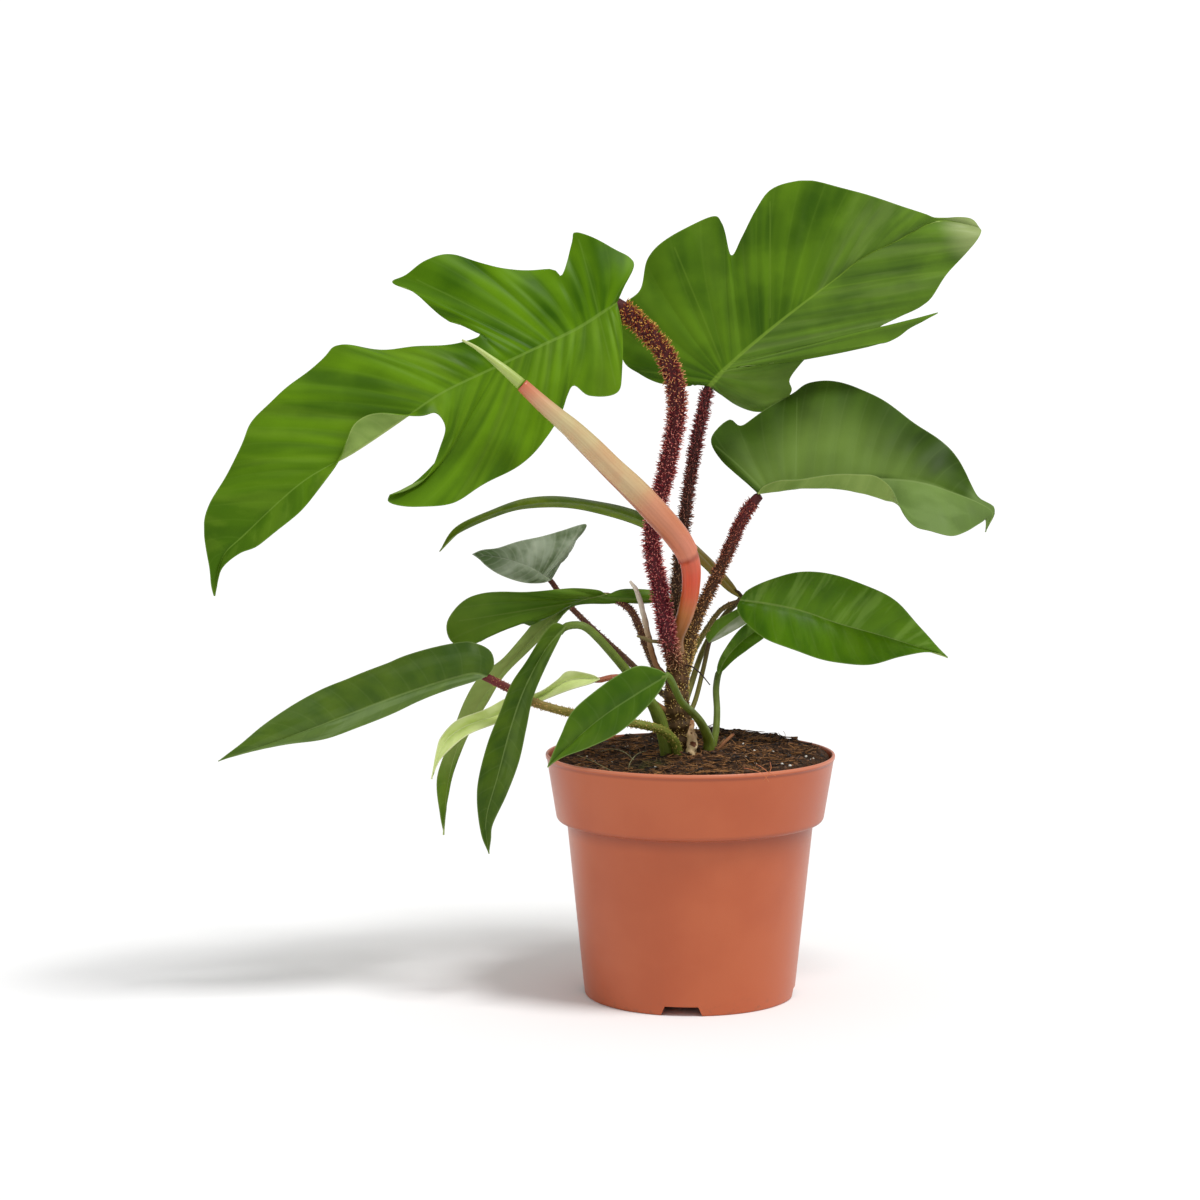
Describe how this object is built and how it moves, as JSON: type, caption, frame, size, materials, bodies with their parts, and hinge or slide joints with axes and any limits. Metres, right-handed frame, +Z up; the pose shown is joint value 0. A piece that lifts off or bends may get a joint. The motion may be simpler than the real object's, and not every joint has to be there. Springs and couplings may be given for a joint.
{
  "type": "potted philodendron squamiferum",
  "caption": "House plant with lobed glossy leaves on red bristled stalks, rooted in peat in a round tapered plastic nursery pot with a deep rim band.",
  "frame": {"origin": "centre of the pot's foot, on the surface that the pot stands on", "axes": "+Z up along the pot's axis, +X to the viewer's right, +Y away from the viewer, with the leaves spread along X"},
  "size_m": [0.452, 0.17, 0.479],
  "materials": {
    "pot_plastic": "satin moulded terracotta-coloured plastic",
    "peat": "dull moist peat with wood fibre",
    "stem_bark": "dull knobby young bark",
    "leaf_bright": "glossy bright green leaf",
    "leaf_deep": "glossy deep green leaf",
    "leaf_pale": "soft pale young leaf",
    "leaf_grey": "dull grey-green leaf underside",
    "stalk_crimson": "crimson stalk covered in bristles",
    "stalk_brown": "brown-red scaly stalk",
    "stalk_green": "smooth green stalk",
    "sheath_red": "satin red to cream sheath",
    "dry_sheath": "dull dried sheath",
    "root_wood": "dull root and twig"
  },
  "bodies": {
    "root": {"pot": "pot_plastic", "soil": "peat", "stem": "stem_bark", "left_large_blade": "leaf_bright", "top_right_blade": "leaf_bright", "middle_right_blade": "leaf_bright", "small_grey_blade": "leaf_grey", "three_lobed_blade": "leaf_deep", "hanging_blade": "leaf_deep", "low_left_blade": "leaf_deep", "front_blade": "leaf_deep", "young_folded_blade": "leaf_pale", "low_right_blade": "leaf_deep", "long_back_blade": "leaf_deep", "edge_right_blade": "leaf_deep", "pale_back_blade": "leaf_grey", "left_large_stalk": "stalk_crimson", "top_right_stalk": "stalk_crimson", "middle_right_stalk": "stalk_crimson", "small_grey_stalk": "stalk_brown", "three_lobed_stalk": "stalk_brown", "hanging_stalk": "stalk_green", "low_left_stalk": "stalk_brown", "front_stalk": "stalk_green", "young_folded_stalk": "stalk_brown", "low_right_stalk": "stalk_green", "long_back_stalk": "stalk_green", "edge_right_stalk": "stalk_green", "pale_back_stalk": "stalk_green", "new_leaf_sheath": "sheath_red", "new_leaf_tip": "leaf_pale", "thin_sheath": "dry_sheath", "papery_sheath": "dry_sheath", "tendril": "root_wood", "twig": "root_wood", "curled_root": "root_wood"}
  },
  "joints": []
}
